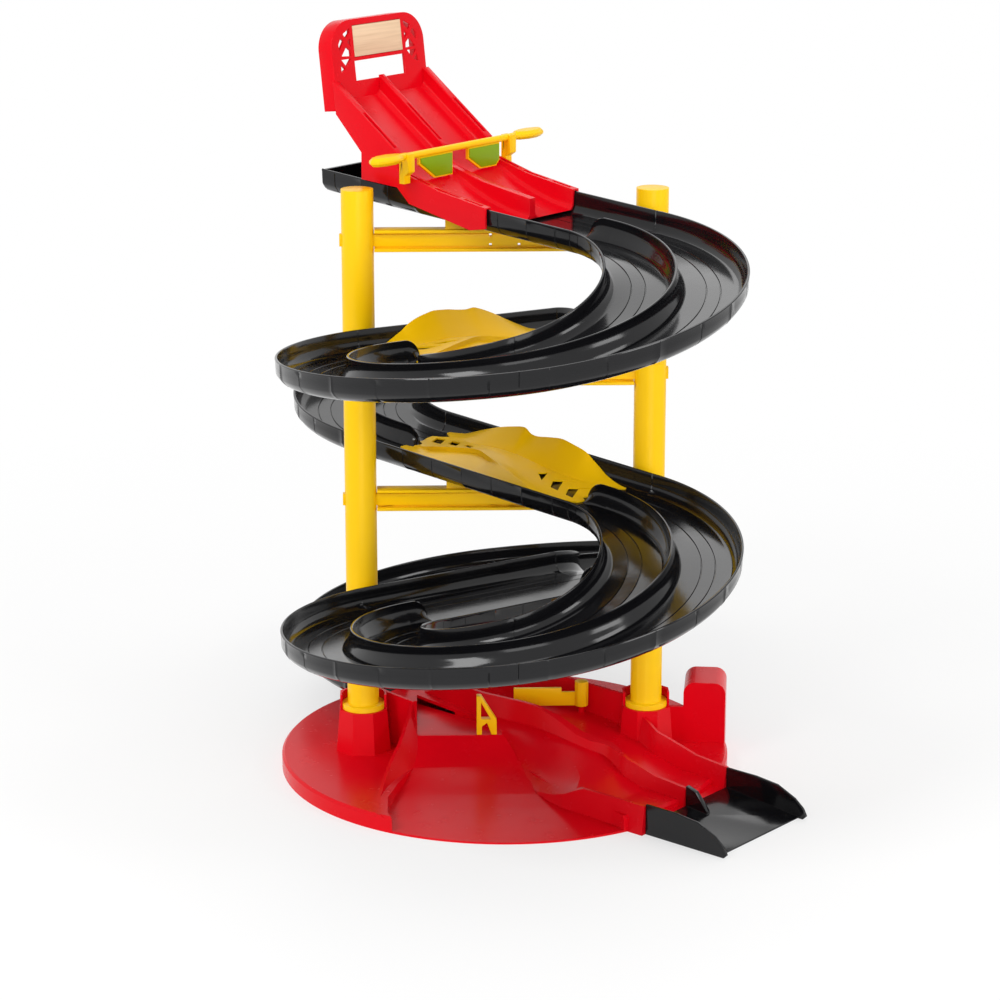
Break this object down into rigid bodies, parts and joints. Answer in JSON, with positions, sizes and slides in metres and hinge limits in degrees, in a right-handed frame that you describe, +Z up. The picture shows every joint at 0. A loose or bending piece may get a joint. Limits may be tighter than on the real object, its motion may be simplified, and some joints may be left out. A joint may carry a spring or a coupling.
{
  "type": "toy race tower",
  "caption": "Freestanding toy race tower: a two-lane track winds down in figure-eight loops round two posts, from a gated launch ramp to a moulded base with an exit chute.",
  "frame": {"origin": "centre of the base disc on the floor it stands on", "axes": "+Z up, +X from the left post to the right post as seen from the front, -Y towards the front lobe of the track"},
  "size_m": [0.3989, 0.6482, 0.5751],
  "materials": {
    "black_plastic": "gloss",
    "yellow_plastic": "satin",
    "red_plastic": "gloss",
    "green_plastic": "satin",
    "light_wood": "clear lacquer"
  },
  "bodies": {
    "tower": {"start_track": "black_plastic", "upper_cross_track": "black_plastic", "middle_cross_track": "black_plastic", "lower_cross_track": "black_plastic", "front_right_curve_upper": "black_plastic", "front_left_curve_upper": "black_plastic", "rear_right_curve_upper": "black_plastic", "rear_left_curve_upper": "black_plastic", "front_right_curve_lower": "black_plastic", "front_left_curve_lower": "black_plastic", "rear_right_curve_lower": "black_plastic", "rear_left_curve_lower": "black_plastic", "exit_chute": "black_plastic", "lane_changer_upper": "yellow_plastic", "lane_changer_lower": "yellow_plastic", "left_post_lower": "yellow_plastic", "left_post_upper": "yellow_plastic", "right_post_lower": "yellow_plastic", "right_post_upper": "yellow_plastic", "top_cross_beam": "yellow_plastic", "upper_cross_beam": "yellow_plastic", "middle_cross_beam": "yellow_plastic", "lower_cross_beam": "yellow_plastic", "bar_clip_left": "yellow_plastic", "bar_clip_right": "yellow_plastic", "finish_bracket": "yellow_plastic", "base": "red_plastic", "launch_ramp": "red_plastic", "sign_frame": "red_plastic", "sign_board": "light_wood"},
    "release_gate": {"release_bar": "yellow_plastic", "gate_face_left": "green_plastic", "gate_face_right": "green_plastic"},
    "diverter": {"diverter_arm": "yellow_plastic"}
  },
  "joints": [
    {"name": "release_gate_swing", "type": "hinge", "parent": "tower", "child": "release_gate", "pos_m": [-0.03419, 0.03078, 0.4835], "axis": [-0.6691, -0.7431, 0], "range_deg": [0, 90]},
    {"name": "diverter_turn", "type": "hinge", "parent": "tower", "child": "diverter", "pos_m": [0.062, 0.03, 0.045], "axis": [0, 0, 1], "range_deg": [-40, 0]}
  ]
}
